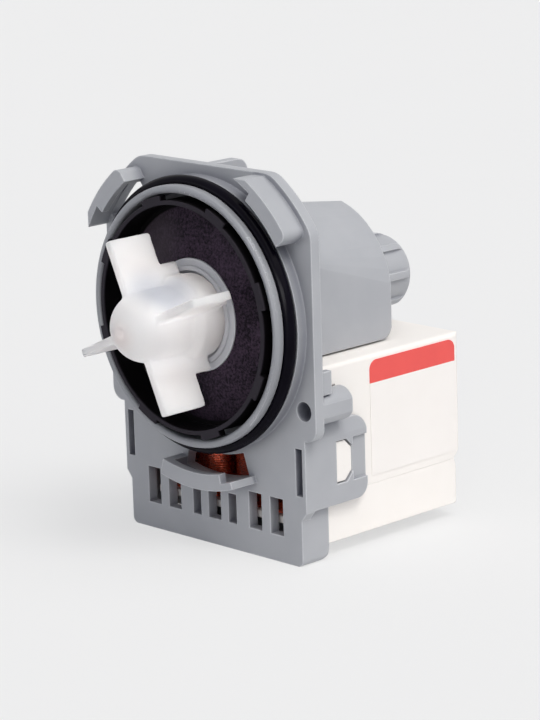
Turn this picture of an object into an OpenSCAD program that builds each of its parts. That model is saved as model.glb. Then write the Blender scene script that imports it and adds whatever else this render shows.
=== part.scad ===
// Washer drain pump: bayonet flange, magnet rotor, impeller and a two-coil stator in a white cover.
// Millimetres. X is right seen from the front, Y points back along the shaft, Z is up.
// The origin lies on the pump axis, in the front face of the mounting plate.

/* [Mounting plate] */
// Thickness of the plate
plate_t = 2.6; // [2.2:0.1:3.2]
// Radius of the plate's upper corners about the pump axis
plate_r = 39.3; // [38.8:0.1:40]
// Drop from the axis to the lower edge of the screw ears
ear_drop = 25; // [24.4:0.1:25.6]
// Rounding below the screw ears
ear_round = 3; // [2:0.1:3.4]
// Rounding where the upper corners meet the flat edges
corner_round = 6; // [4:0.5:7]
// Half width of the upper plate
plate_half_w = 33; // [32.6:0.1:33.6]
// Height of the plate's flat top above the axis
plate_top = 33.3; // [32.8:0.1:34.5]
// Half width below the round part
waist_half_w = 29.4; // [29:0.1:30.4]
// Drop from the axis to the step above the foot
waist_drop = 41.4; // [41.2:0.1:42]
// Height of the slope from the step down to the foot
waist_slope = 2; // [1:0.1:2.5]
// Half width of the foot
foot_half_w = 27.85; // [27.2:0.05:28.6]
// Drop from the axis to the underside of the foot
foot_drop = 54; // [53:0.5:56]
// Depth of the foot's side cheeks
cheek_depth = 8.3; // [7:0.1:9]
// Wall of the cheeks and of the foot's floor
foot_wall = 1.9; // [1.5:0.1:2.4]

/* [Spigot and seal] */
// Radius of the collar that centres the pump
collar_r = 30.9; // [30.7:0.1:31.1]
// Height of the collar in front of the plate
collar_h = 2.6; // [2.2:0.1:3]
// Radius of the spigot's lip
spigot_r = 29.6; // [29.4:0.1:29.8]
// Height of the spigot in front of the plate
spigot_h = 7.6; // [7.2:0.1:8]
// Wall of the spigot
spigot_wall = 1.9; // [1.8:0.05:2]
// Height of the lip in front of the seal groove
spigot_lip_h = 1.95; // [1.8:0.05:2.2]
// Depth of the seal groove under the lip
groove_depth = 1.1; // [0.9:0.05:1.15]

/* [Bayonet lugs] */
// Height of the lugs in front of the plate
lug_h = 6; // [5.6:0.1:6.5]
// Outer wall of a lug
lug_wall = 1.7; // [1.4:0.1:2]
// Thickness of the lip that turns in at the front
lug_lip_t = 2; // [1.7:0.1:2.4]
// Radial width of a lug with its lip
lug_reach = 3.8; // [3.4:0.1:4.2]
// Rounding of the upper lugs' closed ends
lug_round = 1.8; // [1:0.1:2.2]
// Outer radius of the two upper lugs
lug_r = 38; // [37.8:0.1:38.4]
// Outer radius of the bottom lug
low_lug_r = 39.6; // [39.2:0.1:40]

/* [Screw holes] */
// Radius of the screw holes
hole_r = 2.2; // [1.8:0.1:2.4]
// Distance of each hole from the middle plane
hole_x = 29.5; // [28.8:0.1:29.8]
// Drop from the axis to the holes
hole_drop = 18.2; // [17.6:0.1:18.8]
// Radius of the bosses behind the holes
boss_r = 3.8; // [3.4:0.1:4.2]
// Length of the bosses behind the plate
boss_l = 9; // [8:0.1:11]

/* [Vents and snap frames] */
// Width of the wide vents
vent_w = 4.1; // [3.6:0.1:4.4]
// Width of the two narrow vents
thin_vent_w = 2.6; // [2.2:0.1:3]
// Distance of the outer vents from the middle plane
vent_outer_x = 20; // [19.6:0.1:20.6]
// Distance of the next vents from the middle plane
vent_inner_x = 13.2; // [12.8:0.1:13.6]
// Distance of the narrow vents from the middle plane
thin_vent_x = 5.8; // [5.4:0.1:6.2]
// Drop from the axis to the lower ends of the vents
vent_drop = 47.9; // [47:0.1:49]
// Height of the tall vents
vent_h = 8.5; // [7:0.1:9]
// Height of the three narrow middle vents
low_vent_h = 6.85; // [6:0.05:7.5]
// Wall of the snap frames
frame_t = 1.8; // [1.5:0.1:2]
// Length of the snap frames behind the plate's front
frame_l = 19.5; // [19:0.1:21]
// Drop from the axis to the top of the frames
frame_top_drop = 22.4; // [22:0.1:23]
// Height of the frames
frame_h = 18.9; // [18.4:0.1:19.4]
// Start of the catch window behind the plate's front
catch_y = 9.8; // [9:0.1:10.5]
// Length of the catch window
catch_l = 5.25; // [4.5:0.05:5.5]
// Height of the catch window
catch_h = 9.8; // [9:0.1:10.5]

/* [Motor shell] */
// Half width of the shell
shell_half_w = 20.7; // [20.2:0.1:21.5]
// Radius of the shell's shoulder at its rear
shell_r = 20.9; // [20.7:0.1:22]
// Fall of the roof towards the left
roof_fall = 1.3; // [0.8:0.1:1.8]
// Growth of the roof from rear to front by draft
shell_draft = 4; // [2:0.1:4.5]
// Distance of the shell's rear face from the plate's front
shell_l = 37.5; // [37:0.1:40]
// Drop from the axis to the shell's lower edge
shell_drop = 9.7; // [9:0.1:10]
// Wall of the shell
shell_wall = 1.9; // [1.6:0.1:2.1]
// Radius of the nose between its ribs
nose_r = 8.5; // [8.3:0.1:9]
// Height of the nose's ribs
rib_h = 0.8; // [0.5:0.1:1]
// Distance of the nose's tip from the plate's front
nose_l = 59.8; // [58:0.1:61]
// Number of ribs round the nose
ribs = 8; // [6:1:10]

/* [Rotor] */
// Radius of the shaft
shaft_r = 1.6; // [1.4:0.05:1.8]
// Radius of the magnet
magnet_r = 9.8; // [9.2:0.1:10]
// Length of the magnet
magnet_l = 25; // [23:0.5:25.5]
// Wall of the magnet ring
magnet_wall = 4.9; // [4:0.1:5.5]
// Thickness of the carrier's end flanges
carrier_flange = 1.4; // [1:0.1:1.8]
// Wall of the rotor chamber
chamber_wall = 1.2; // [1:0.05:1.4]
// Radial gap between the magnet and the chamber
chamber_gap = 0.6; // [0.4:0.05:0.8]
// Radius of the bearing bushes
bush_r = 3.55; // [3.3:0.05:3.8]
// Length of the bearing bushes
bush_l = 6.6; // [6:0.1:7]
// Wall of the rubber mounts round the bushes
rubber_wall = 2.3; // [2:0.1:2.5]
// Thickness of the thrust washers
washer_t = 0.6; // [0.4:0.1:0.8]
// Free turn of the impeller on its driver, each way
free_turn = 120; // [90:5:125]

/* [Impeller] */
// Radius at the tips of the blades
impeller_r = 20.16; // [18:0.1:22]
// Thickness of a blade
blade_t = 1.9; // [1.4:0.1:2.4]
// Distance of the blades' front edge from the plate's front
blade_front = 21.8; // [20:0.1:23]
// Distance of the blades' rear edge from the plate's front
blade_rear = 9.9; // [9:0.1:12]
// Radius of the short step behind each blade
blade_step_r = 12.7; // [11:0.1:14]
// Radius of the hub where it enters the collar
hub_r = 9.5; // [9.2:0.1:9.8]
// Radius of the dome and of the hub behind it
dome_r = 8; // [7.8:0.1:8.4]
// Distance of the dome's tip from the plate's front
dome_tip = 26.5; // [25.6:0.1:27]
// Angle of the first blade from the right-hand side
blade_angle = 24.1; // [0:0.1:90]

/* [Chamber cover] */
// Depth of the dish from its rim to its floor
dish_depth = 6.45; // [6:0.05:6.6]
// Height of the rim in front of the plate
dish_h = 8.45; // [8.2:0.05:8.8]
// Wall of the dish
dish_wall = 0.95; // [0.8:0.05:1.1]
// Thickness of the dish floor
dish_floor = 1.5; // [1.2:0.1:1.6]
// Number of centring tabs round the rim
tabs = 8; // [6:1:10]
// Angle covered by each tab
tab_angle = 13; // [10:1:16]
// Reach of the tabs beyond the rim
tab_reach = 1.1; // [0.9:0.05:1.2]
// Radius of the bearing holder's flange
holder_r = 12.8; // [12.4:0.1:13.2]
// Thickness of the bearing holder's flange
holder_flange = 1.9; // [1.6:0.1:2]
// Height of the holder's inner ring in front of the flange
holder_step = 0.6; // [0.4:0.05:0.65]

/* [Stator] */
// Depth of the lamination stack
stack_l = 25; // [23:0.5:25.5]
// Distance of the stack's front from the plate's front
stack_y = 9.2; // [9:0.1:10]
// Width of a core leg
leg_w = 9.4; // [8.6:0.1:9.8]
// Distance of each leg from the middle plane
leg_x = 11.2; // [11:0.1:11.5]
// Radial width of the poles round the rotor chamber
pole_w = 6.2; // [5.6:0.1:6.4]
// Height of the yoke
yoke_h = 7.6; // [7:0.1:8]
// Radius of the core rivets
rivet_r = 1.5; // [1.2:0.1:1.8]
// Wall of the bobbins
bobbin_wall = 1; // [0.8:0.05:1.1]
// Thickness of the bobbin flanges
flange_t = 1.6; // [1.3:0.1:1.8]
// Height of the winding between the flanges
winding_h = 30; // [29:0.5:30.5]
// Thickness of the winding
winding_t = 4.1; // [3.8:0.05:4.3]
// Diameter of the outer strand
strand_d = 0.95; // [0.8:0.05:1]
// Turns of the outer strand
turns = 20; // [12:1:20]

/* [Coil cover] */
// Half width of the cover and its base
box_half_w = 27.3; // [26.8:0.1:27.4]
// Distance of the cover's rear face from the plate's front
box_rear = 53.2; // [52.5:0.1:54.5]
// Drop from the axis to the top of the cover
box_top_drop = 10.2; // [10.1:0.05:10.6]
// Drop from the axis to the parting of cover and base
parting_drop = 39.9; // [39:0.1:40.5]
// Drop from the axis to the underside of the base
base_drop = 50.5; // [49.8:0.1:52]
// Wall of the cover and its base
box_wall = 1.8; // [1.6:0.1:2]
// Rear wall of the cover and its base
rear_wall = 4; // [3.4:0.1:4.5]
// Depth of the notch at the rear, seen from the cover
cover_notch = 3; // [2:0.1:3.2]
// Depth of the notch at the rear, seen from the base
base_notch = 1.8; // [1:0.1:2.4]
// Rounding of the cover's top edges
top_round = 1; // [0.6:0.1:1.5]
// Rounding of the base's lower rear edge
base_round = 2; // [1:0.1:2.5]
// Width of the terminal socket
socket_w = 24; // [20:0.5:28]
// Height of the terminal socket
socket_h = 12; // [10:0.5:14]
// Depth of the terminal socket
socket_d = 7.2; // [6:0.1:7.6]
// Width of a terminal tab
tab_w = 6.3; // [4.8:0.1:7]
// Thickness of a terminal tab
tab_t = 0.8; // [0.5:0.1:1]
// Spacing of the terminal tabs
tab_pitch = 10; // [8:0.5:12]

/* [Label] */
// Length of the label
label_l = 28; // [24:0.5:28.5]
// Height of the label
label_h = 26.5; // [22:0.5:27]
// Height of the coloured band
band_h = 5.2; // [4:0.1:7]
// Thickness of the label
label_t = 0.15; // [0.1:0.05:0.2]

/* [Fits] */
// Clearance between pieces that seat in each other
seat_gap = 0.1; // [0.05:0.05:0.2]
// Radial play of the shaft in its bushes
run_fit = 0.03; // [0.02:0.01:0.08]
// Clearance to pieces that turn
turn_gap = 0.5; // [0.4:0.1:0.6]

/* [Hidden] */
$fn = 64;
// Small overlap that joins shapes and runs cuts past a face
e = 0.01;

// Seal groove, O-ring and spigot bore
bore_r = spigot_r - spigot_wall;
groove_r = spigot_r - groove_depth;
groove_front = spigot_h - spigot_lip_h;
o_ring_d = groove_front - collar_h - 2*seat_gap;
o_ring_r = groove_r + seat_gap + o_ring_d/2;
o_ring_y = -(groove_front + collar_h)/2;
lip_round = spigot_wall/2 - 0.05;

// Lugs as closed end, lip end, window end and wall end in degrees, with the outer radius. The upper lugs' walls
// stop at the plate's edge, the bottom lug's wall ends in a ramp.
UPPER_LUGS = [[34, 55.5, 60, 68, lug_r], [124.5, 143.5, 149, 158, lug_r]];
LOW_LUG = [-106.5, -77, -72, -69.3, low_lug_r];
LUGS = concat(UPPER_LUGS, [LOW_LUG]);
closed_end_angle = 2.6;
lug_inset = 0.6;
ramp_foot = 0.8;
window_margin = 1.5;
window_ledge = 0.15;

// Vents as place across the plate, width and height
VENTS = [for (side = [-1, 1]) each [
    [side*vent_outer_x, vent_w, vent_h], [side*vent_inner_x, vent_w, vent_h],
    [side*thin_vent_x, thin_vent_w, low_vent_h]], [0, vent_w, low_vent_h]];
side_slot_w = 2;
side_slot_x = waist_half_w - 1 - side_slot_w/2;
side_slot_h = 10.8;
frame_bottom_drop = frame_top_drop + frame_h;
frame_x = waist_half_w - frame_t;
frame_round = 3.2;
rail_h = 3.2;
rail_bevel = 0.9;
frame_recess = 0.6;
catch_drop = frame_top_drop + (frame_h - catch_h)/2;
catch_chamfer = 2;
foot_round = 3;
foot_corner = 1.5;

// Rotor chamber and shaft line
chamber_r = magnet_r + chamber_gap;
chamber_out = chamber_r + chamber_wall;
rubber_r = bush_r + rubber_wall;
front_bush_y = -1.2;
holder_back = front_bush_y + bush_l + 0.6;
holder_wall_y = front_bush_y - seat_gap;
front_washer_y = front_bush_y + bush_l + 0.3;
carrier_y = front_washer_y + washer_t + 0.5;
magnet_y = carrier_y + carrier_flange + seat_gap/2;
magnet_end = magnet_y + magnet_l;
carrier_end = magnet_end + carrier_flange + seat_gap/2;
chamber_end = carrier_end + 0.8;
chamber_back = chamber_end + chamber_wall;
nose_round = 6;
nose_wall = 3.2;
first_rib = 3;
rib_angle = 11;
nose_bore_end = nose_l - nose_wall;
shaft_end = nose_bore_end - 1.2;
rear_bush_y = shaft_end - 1 - bush_l;
rear_washer_y = rear_bush_y - 0.3 - washer_t;
sleeve_end = rear_washer_y - 0.3;
sleeve_r = bush_r - 0.3;

// Impeller hub, its cavity and the lost-motion driver
floor_y = -(dish_h - dish_depth);
holder_face = floor_y - holder_flange;
ring_face = holder_face - holder_step;
pocket_r = hub_r + turn_gap + 0.15;
pocket_floor = holder_face + 0.9;
hub_rear = pocket_floor - turn_gap;
step_rear = ring_face - turn_gap;
cavity_r = dome_r - 1.6;
cap_t = 1.8;
cap_front = hub_rear - cap_t;
cap_r = hub_r - 1.3;
cavity_front = -(dome_tip - 7.5);
driver_r = cavity_r - 0.4;
driver_rear = cap_front - 0.4;
driver_front = cavity_front + 0.4;
driver_hub_r = shaft_r + 1.6;
driver_half = 24;
// The stop is as wide as the driver leaves it, with a margin at each end of the free turn
stop_margin = 4;
stop_half = 180 - free_turn - driver_half - stop_margin;
shaft_front = driver_front + 0.3;
blade_round = 0.5;

// Dish of the chamber cover
dish_r = bore_r - seat_gap - tab_reach - 0.2;
dish_in = dish_r - dish_wall;
tab_h = 1.9;
first_tab = 18;
cone_top = holder_face + 0.2;
holder_tube_r = chamber_r - 0.9;
seal_r = holder_tube_r + 4.5;
seal_w = 2.4;

// Stator core
pole_r = chamber_out + 0.3;
pole_out = pole_r + pole_w;
stack_end = stack_y + stack_l;
stack_mid = stack_y + stack_l/2;
yoke_top = -(foot_drop - yoke_h);
yoke_half_w = leg_x + leg_w/2;
yoke_chamfer = 5;
pole_gap = 6;
rivet_head = 0.6;
shell_front = 5;
// The pocket is as long as the stack with its rivet heads, also in a shorter shell
pocket_end = max(shell_l - shell_wall, stack_end + rivet_head + turn_gap);

// Bobbins and windings
flange_z = yoke_top + seat_gap;
winding_z = flange_z + flange_t + seat_gap;
top_flange_z = winding_z + winding_h + seat_gap;
bobbin_half_x = leg_w/2 + 0.3 + bobbin_wall;
bobbin_half_y = stack_l/2 + 0.3 + bobbin_wall;
coil_half_x = bobbin_half_x + seat_gap + winding_t;
coil_half_y = bobbin_half_y + seat_gap + winding_t;
coil_core_x = coil_half_x - strand_d - seat_gap;
coil_core_y = coil_half_y - strand_d - seat_gap;
coil_round = 4.5;
flange_edge = 0.3;

// Outer strand: a rising racetrack, walked corner by corner
strand_r = strand_d/2;
strand_x = coil_half_x - strand_r;
strand_y = coil_half_y - strand_r;
corner_steps = 3;
strand_sides = 6;
strand_low = winding_z + strand_d;
strand_pitch = (winding_h - 2*strand_d)/turns;

// Coil cover and base
box_front = plate_t + 1.4;
base_front = cheek_depth + 0.5;
base_rear = box_rear - 1;
box_round = 2;
top_open_x = leg_x + leg_w/2 + 2;
boss_notch = 0.4;
socket_mid = -26;
socket_floor = box_rear - socket_d;
tab_end = box_rear - 0.8;
tab_tail = 1.5;
tab_start = socket_floor - box_wall - tab_tail;
fuse_l = 12;
fuse_h = 4.4;
fuse_t = 3.2;
fuse_z = -38.6;

// Label
label_rear = 2.2;
label_drop = 1.3;
label_y = box_rear - label_rear - label_l;
label_top = -(box_top_drop + label_drop);
label_round = 2.2;

// Colours
HOUSING_GREY = [0.60, 0.62, 0.66];
BLACK = [0.12, 0.11, 0.13];
RUBBER = [0.08, 0.08, 0.09];
STEEL = [0.72, 0.73, 0.75];
BRONZE = [0.55, 0.42, 0.28];
FERRITE = [0.22, 0.21, 0.22];
WHITE = [0.93, 0.92, 0.91];
LAMINATION = [0.33, 0.34, 0.36];
COPPER = [0.48, 0.15, 0.06];
BRASS = [0.80, 0.68, 0.38];
RED = [0.93, 0.33, 0.31];

// Extrudes a front-view outline from one depth to another
module along_y(y0, y1) {
    translate([0, y1, 0]) rotate([90, 0, 0]) linear_extrude(y1 - y0) children();
}

// Extrudes a side-view outline, drawn as depth and height, from one width to another
module along_x(x0, x1) {
    translate([x0, 0, 0]) rotate([90, 0, 90]) linear_extrude(x1 - x0) children();
}

// Revolves an outline, drawn as radius and depth, about the pump axis
module revolve_y() {
    rotate([-90, 0, 0]) rotate_extrude() children();
}

// Ring about the pump axis
module ring_y(r_in, r_out, y0, y1) {
    along_y(y0, y1) difference() {
        circle(r_out);
        circle(r_in);
    }
}

module wedge(a0, a1, r) {
    polygon([[0, 0], for (k = [0:3]) r*[cos(a0 + (a1 - a0)*k/3), sin(a0 + (a1 - a0)*k/3)]]);
}

module sector(r_in, r_out, a0, a1) {
    intersection() {
        difference() {
            circle(r_out);
            circle(r_in);
        }
        wedge(a0, a1, 2*r_out);
    }
}

// Rectangle between two corners
module box_2d(x0, y0, x1, y1) {
    translate([x0, y0]) square([x1 - x0, y1 - y0]);
}

// Rectangle with round corners between two corners
module round_2d(x0, y0, x1, y1, r) {
    box_2d(x0 + r, y0, x1 - r, y1);
    box_2d(x0, y0 + r, x1, y1 - r);
    for (x = [x0 + r, x1 - r], y = [y0 + r, y1 - r]) translate([x, y]) circle(r);
}

// What lies outside a round corner, whose sharp point and outward signs are given, to be cut away
module corner_2d(x, y, sx, sy, r) {
    difference() {
        box_2d(min(x - sx*r, x + sx), min(y - sy*r, y + sy), max(x - sx*r, x + sx), max(y - sy*r, y + sy));
        translate([x - sx*r, y - sy*r]) circle(r);
    }
}

// Both sides of the middle plane
module both_sides() {
    children();
    mirror([1, 0, 0]) children();
}

// Corner between a straight edge at a distance from the axis and the round of the plate, to be cut away
module corner_cut(edge) {
    x = sqrt(pow(plate_r - corner_round, 2) - pow(edge - corner_round, 2));
    centre = [x, edge - corner_round];
    tangent = centre*plate_r/(plate_r - corner_round);
    difference() {
        polygon([centre, [x, edge + 1], [sqrt(plate_r*plate_r - edge*edge) + 1, edge + 1], tangent*1.02]);
        translate(centre) circle(corner_round);
    }
}

module plate_outline() {
    difference() {
        intersection() {
            circle(plate_r);
            box_2d(-plate_half_w, -1, plate_half_w, plate_top);
        }
        for (side = [0, 180]) rotate([0, side, 0]) {
            corner_cut(plate_top);
            rotate([180, 0, 90]) corner_cut(plate_half_w);
        }
    }
    // Screw ears, round below
    box_2d(-plate_half_w, -ear_drop + ear_round, plate_half_w, 0);
    box_2d(-plate_half_w + ear_round, -ear_drop, plate_half_w - ear_round, 0);
    for (x = [-plate_half_w + ear_round, plate_half_w - ear_round]) translate([x, -ear_drop + ear_round])
        circle(ear_round);
    // Waist, sloping in to the foot
    polygon([[-waist_half_w, -hole_drop], [-waist_half_w, -waist_drop], [-foot_half_w, -waist_drop - waist_slope],
        [foot_half_w, -waist_drop - waist_slope], [waist_half_w, -waist_drop], [waist_half_w, -hole_drop]]);
    foot_outline();
}

// Foot in front view, round at its lower corners
module foot_outline() {
    x = foot_half_w - foot_corner;
    z = -foot_drop + foot_corner;
    top = -frame_bottom_drop + e;
    box_2d(-foot_half_w, z, foot_half_w, top);
    box_2d(-x, -foot_drop, x, top);
    for (side = [-x, x]) translate([side, z]) circle(foot_corner);
}

// Outer corner at the closed end of a lug, to be cut away
module lug_corner_2d(lug) {
    r = lug[4];
    x = sqrt(pow(r - lug_round, 2) - pow(lug_round, 2));
    tangent = [x, lug_round]*r/(r - lug_round);
    rotate([0, 0, lug[0]]) difference() {
        polygon([[x, lug_round], [x, -1], [r + 1, -1], [r + 1, lug_round], tangent*1.02]);
        translate([x, lug_round]) circle(lug_round);
    }
}

// Lip and closed end of a bayonet lug
module lug_lip(lug) {
    r = lug[4];
    along_y(-lug_h, -lug_h + lug_lip_t) sector(r - lug_reach, r, lug[0], lug[1]);
    along_y(-lug_h, e) sector(r - lug_reach, r, lug[0], lug[0] + closed_end_angle);
}

// Lug whose wall stops a little inside the plate's straight edges
module upper_lug(lug) {
    r = lug[4];
    difference() {
        union() {
            along_y(-lug_h, e) intersection() {
                sector(r - lug_wall, r, lug[0], lug[3]);
                box_2d(-plate_half_w + lug_inset, 0, plate_half_w - lug_inset, plate_top - lug_inset);
            }
            lug_lip(lug);
        }
        along_y(-lug_h - 1, 1) lug_corner_2d(lug);
    }
}

// Lug whose wall ends in a run-in ramp
module low_lug(lug) {
    r = lug[4];
    wall_end = lug[2];
    ramp_l = r*sin(lug[3] - wall_end);
    lug_lip(lug);
    along_y(-lug_h, e) sector(r - lug_wall, r, lug[0], wall_end);
    difference() {
        along_y(-lug_h, e) sector(r - lug_wall, r, wall_end - 1, lug[3]);
        rotate([0, -wall_end, 0]) translate([r - lug_reach - lug_wall, -lug_h, 0])
            rotate([-atan2(lug_h - ramp_foot, ramp_l), 0, 0]) translate([0, -2*lug_h, -lug_wall])
            cube([3*lug_reach, 2*lug_h, 3*lug_h]);
    }
}

// Cut through the plate behind a lug's lip, a small ledge inside the lug's walls
module lug_window(lug) {
    r = lug[4] - lug_wall - window_ledge;
    along_y(-e, plate_t + e)
        sector(collar_r + window_margin, r, lug[0] + closed_end_angle + atan(window_ledge/r), lug[2]);
}

// Section of the motor shell in front view, larger towards the plate
function shell_section(grow) = let(
        r = shell_r + grow,
        a0 = acos(shell_half_w/r),
        left_r = r - roof_fall,
        ridge = 74)
    concat(
        [[shell_half_w, -shell_drop]],
        [for (k = [0:8]) let(a = a0 + (ridge - a0)*k/8) r*[cos(a), sin(a)]],
        [for (t = [70:-10:0]) [-shell_half_w*cos(t), left_r*sin(t)]],
        [[-shell_half_w, -shell_drop]]);

module motor_shell() {
    slab = 0.2;
    corner = 3;
    difference() {
        hull() {
            along_y(plate_t - slab, plate_t) polygon(shell_section(shell_draft));
            along_y(shell_l - slab, shell_l) polygon(shell_section(0));
        }
        // Pocket for the poles, open towards the coils
        along_y(shell_front, pocket_end) difference() {
            union() {
                circle(shell_half_w - shell_wall);
                box_2d(-shell_half_w + shell_wall, -2*shell_drop, shell_half_w - shell_wall, 0);
            }
            circle(chamber_out);
        }
        // Round lower rear corner
        along_x(-2*shell_half_w, 2*shell_half_w) difference() {
            box_2d(shell_l - corner, -shell_drop - 1, shell_l + 1, -shell_drop + corner);
            translate([shell_l - corner, -shell_drop + corner]) circle(corner);
        }
    }
}

// Ribbed housing of the rear bearing, round at its tip
module nose() {
    r = nose_r + rib_h;
    difference() {
        revolve_y() {
            box_2d(0, shell_l - e, r - nose_round, nose_l);
            box_2d(0, shell_l - e, r, nose_l - nose_round);
            intersection() {
                translate([r - nose_round, nose_l - nose_round]) circle(nose_round);
                box_2d(0, shell_l, r + 1, nose_l + 1);
            }
        }
        for (k = [0:ribs - 1]) along_y(shell_l, nose_l) let(a = first_rib + 360/ribs*k)
            sector(nose_r, r + 1, a + rib_angle/2, a + 360/ribs - rib_angle/2);
    }
}

// Frame on the +X side that the coil cover's catch snaps into
module snap_frame() {
    z0 = -frame_bottom_drop;
    z1 = -frame_top_drop;
    difference() {
        along_x(frame_x, waist_half_w) difference() {
            union() {
                box_2d(0, z0, frame_l - frame_round, z1);
                round_2d(frame_l - 3*frame_round, z0, frame_l, z1, frame_round);
            }
            catch_outline(0);
        }
        // Recess in the rear bar's outer face and slide for the catch inside
        along_x(waist_half_w - frame_recess, waist_half_w + 1)
            box_2d(catch_y + catch_l, -catch_drop - catch_h, frame_l + 1, -catch_drop);
        along_x(frame_x - 1, side_slot_x + side_slot_w/2)
            box_2d(-1, -catch_drop - catch_h, catch_y + 1, -catch_drop);
        // Bevel along the upper rail
        along_y(plate_t, frame_l + 1) polygon([[waist_half_w, z1 - rail_h], [waist_half_w + 1, z1 - rail_h],
            [waist_half_w + 1, z1 + 1], [waist_half_w - rail_bevel, z1 + 1], [waist_half_w - rail_bevel, z1]]);
    }
}

// Window for the catch, or the catch itself with a margin all round
module catch_outline(margin) {
    y0 = catch_y + margin;
    y1 = catch_y + catch_l - margin;
    z0 = -catch_drop - catch_h + margin;
    z1 = -catch_drop - margin;
    polygon([[y0, z0], [y1 - catch_chamfer, z0], [y1, z0 + catch_chamfer],
        [y1, z1 - catch_chamfer], [y1 - catch_chamfer, z1], [y0, z1]]);
}

// Cheeks and floor of the foot, round at the lower rear
module foot() {
    difference() {
        along_y(0, cheek_depth) difference() {
            foot_outline();
            box_2d(-foot_half_w + foot_wall, -foot_drop + foot_wall, foot_half_w - foot_wall, 0);
        }
        along_x(-2*foot_half_w, 2*foot_half_w) corner_2d(cheek_depth, -foot_drop, 1, -1, foot_round);
    }
}

// Rib on the +X side that backs the plate above its screw boss
module side_rib() {
    rib_back = 3.2;
    rib_w = 1.6;
    rib_low = hole_drop - boss_r + 0.4;
    rib_top = 9.6;
    along_x(plate_half_w - 0.6 - rib_w, plate_half_w - 0.6)
        box_2d(plate_t - e, -rib_low, plate_t + rib_back, -rib_top);
}

// Lug that stands behind the plate's top edge
module top_lug() {
    lug_top = plate_top - 0.2;
    lug_end = 13.2;
    lug_low = 24;
    lug_round = 3;
    along_x(-2, 0.5) {
        box_2d(plate_t - e, lug_low, lug_end - lug_round, lug_top);
        box_2d(plate_t - e, lug_low, lug_end, lug_top - lug_round);
        translate([lug_end - lug_round, lug_top - lug_round]) circle(lug_round);
    }
}

module spigot() {
    revolve_y() difference() {
        union() {
            box_2d(bore_r, -spigot_h, spigot_r, e);
            box_2d(bore_r, -collar_h, collar_r, e);
        }
        box_2d(groove_r, -groove_front, spigot_r + 1, -collar_h);
        corner_2d(bore_r, -spigot_h, -1, -1, lip_round);
        corner_2d(spigot_r, -spigot_h, 1, -1, lip_round);
    }
}

module pump_housing() {
    color(HOUSING_GREY) difference() {
        union() {
            along_y(0, plate_t) plate_outline();
            spigot();
            for (lug = UPPER_LUGS) upper_lug(lug);
            low_lug(LOW_LUG);
            motor_shell();
            along_y(plate_t - e, chamber_back) circle(chamber_out);
            nose();
            both_sides() {
                along_y(plate_t - e, plate_t + boss_l) intersection() {
                    translate([hole_x, -hole_drop]) circle(boss_r);
                    plate_outline();
                }
                snap_frame();
                side_rib();
            }
            foot();
            top_lug();
        }
        for (lug = LUGS) lug_window(lug);
        // Rotor chamber and seat of the rear bearing
        along_y(-e, chamber_end) circle(chamber_r);
        along_y(chamber_end - e, nose_bore_end) circle(rubber_r + seat_gap);
        both_sides() along_y(-e, plate_t + boss_l + e) translate([hole_x, -hole_drop]) circle(hole_r);
        both_sides() along_y(-e, plate_t + e) box_2d(side_slot_x - side_slot_w/2, -catch_drop - side_slot_h,
            side_slot_x + side_slot_w/2, -catch_drop);
        for (v = VENTS) along_y(-e, plate_t + e)
            box_2d(v[0] - v[1]/2, -vent_drop, v[0] + v[1]/2, -vent_drop + v[2]);
    }
}

module main_o_ring() {
    color(RUBBER) revolve_y() translate([o_ring_r, o_ring_y]) circle(o_ring_d/2);
}

module chamber_cover() {
    color(BLACK) {
        ring_y(dish_in, dish_r, -dish_h, 0);
        // Floor that rises as a cone to the bearing holder's flange, which sits in its recess
        revolve_y() polygon([[holder_tube_r + seat_gap, floor_y], [holder_r + seat_gap, floor_y],
            [holder_r + seat_gap, cone_top], [dish_in + e, floor_y], [dish_in + e, floor_y + dish_floor],
            [holder_tube_r + seat_gap, floor_y + dish_floor]]);
        for (k = [0:tabs - 1]) along_y(-dish_h, -dish_h + tab_h) let(a = first_tab + 360/tabs*k)
            sector(dish_r - e, dish_r + tab_reach, a - tab_angle/2, a + tab_angle/2);
    }
}

module cover_seal() {
    color(RUBBER) ring_y(seal_r - seal_w/2, seal_r + seal_w/2, floor_y + dish_floor, 0);
}

module bearing_holder() {
    color(HOUSING_GREY) difference() {
        union() {
            ring_y(0, holder_r, holder_face, floor_y);
            ring_y(0, holder_r - 1.6, ring_face, holder_face + e);
            ring_y(0, holder_tube_r, floor_y - e, holder_back);
        }
        along_y(ring_face - e, pocket_floor) circle(pocket_r);
        along_y(holder_wall_y, holder_back + e) circle(rubber_r + seat_gap);
        along_y(pocket_floor - e, holder_wall_y + e) circle(shaft_r + 0.8);
    }
}

// Rubber sleeve round a bush
module bearing_mount(y) {
    ring_y(bush_r + seat_gap/2, rubber_r, y, y + bush_l);
}

module front_bearing_mount() {
    color(RUBBER) bearing_mount(front_bush_y);
}

module rear_bearing_mount() {
    color(RUBBER) bearing_mount(rear_bush_y);
}

module bush(y) {
    ring_y(shaft_r + run_fit, bush_r, y, y + bush_l);
}

module front_bush() {
    color(BRONZE) bush(front_bush_y);
}

module rear_bush() {
    color(BRONZE) bush(rear_bush_y);
}

module thrust_washer(y) {
    ring_y(shaft_r + seat_gap/2, bush_r - 0.2, y, y + washer_t);
}

module front_thrust_washer() {
    color(STEEL) thrust_washer(front_washer_y);
}

module rear_thrust_washer() {
    color(STEEL) thrust_washer(rear_washer_y);
}

module shaft() {
    color(STEEL) revolve_y() polygon([[0, shaft_front], [shaft_r - 0.3, shaft_front], [shaft_r, shaft_front + 0.3],
        [shaft_r, shaft_end - 0.3], [shaft_r - 0.3, shaft_end], [0, shaft_end]]);
}

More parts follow.
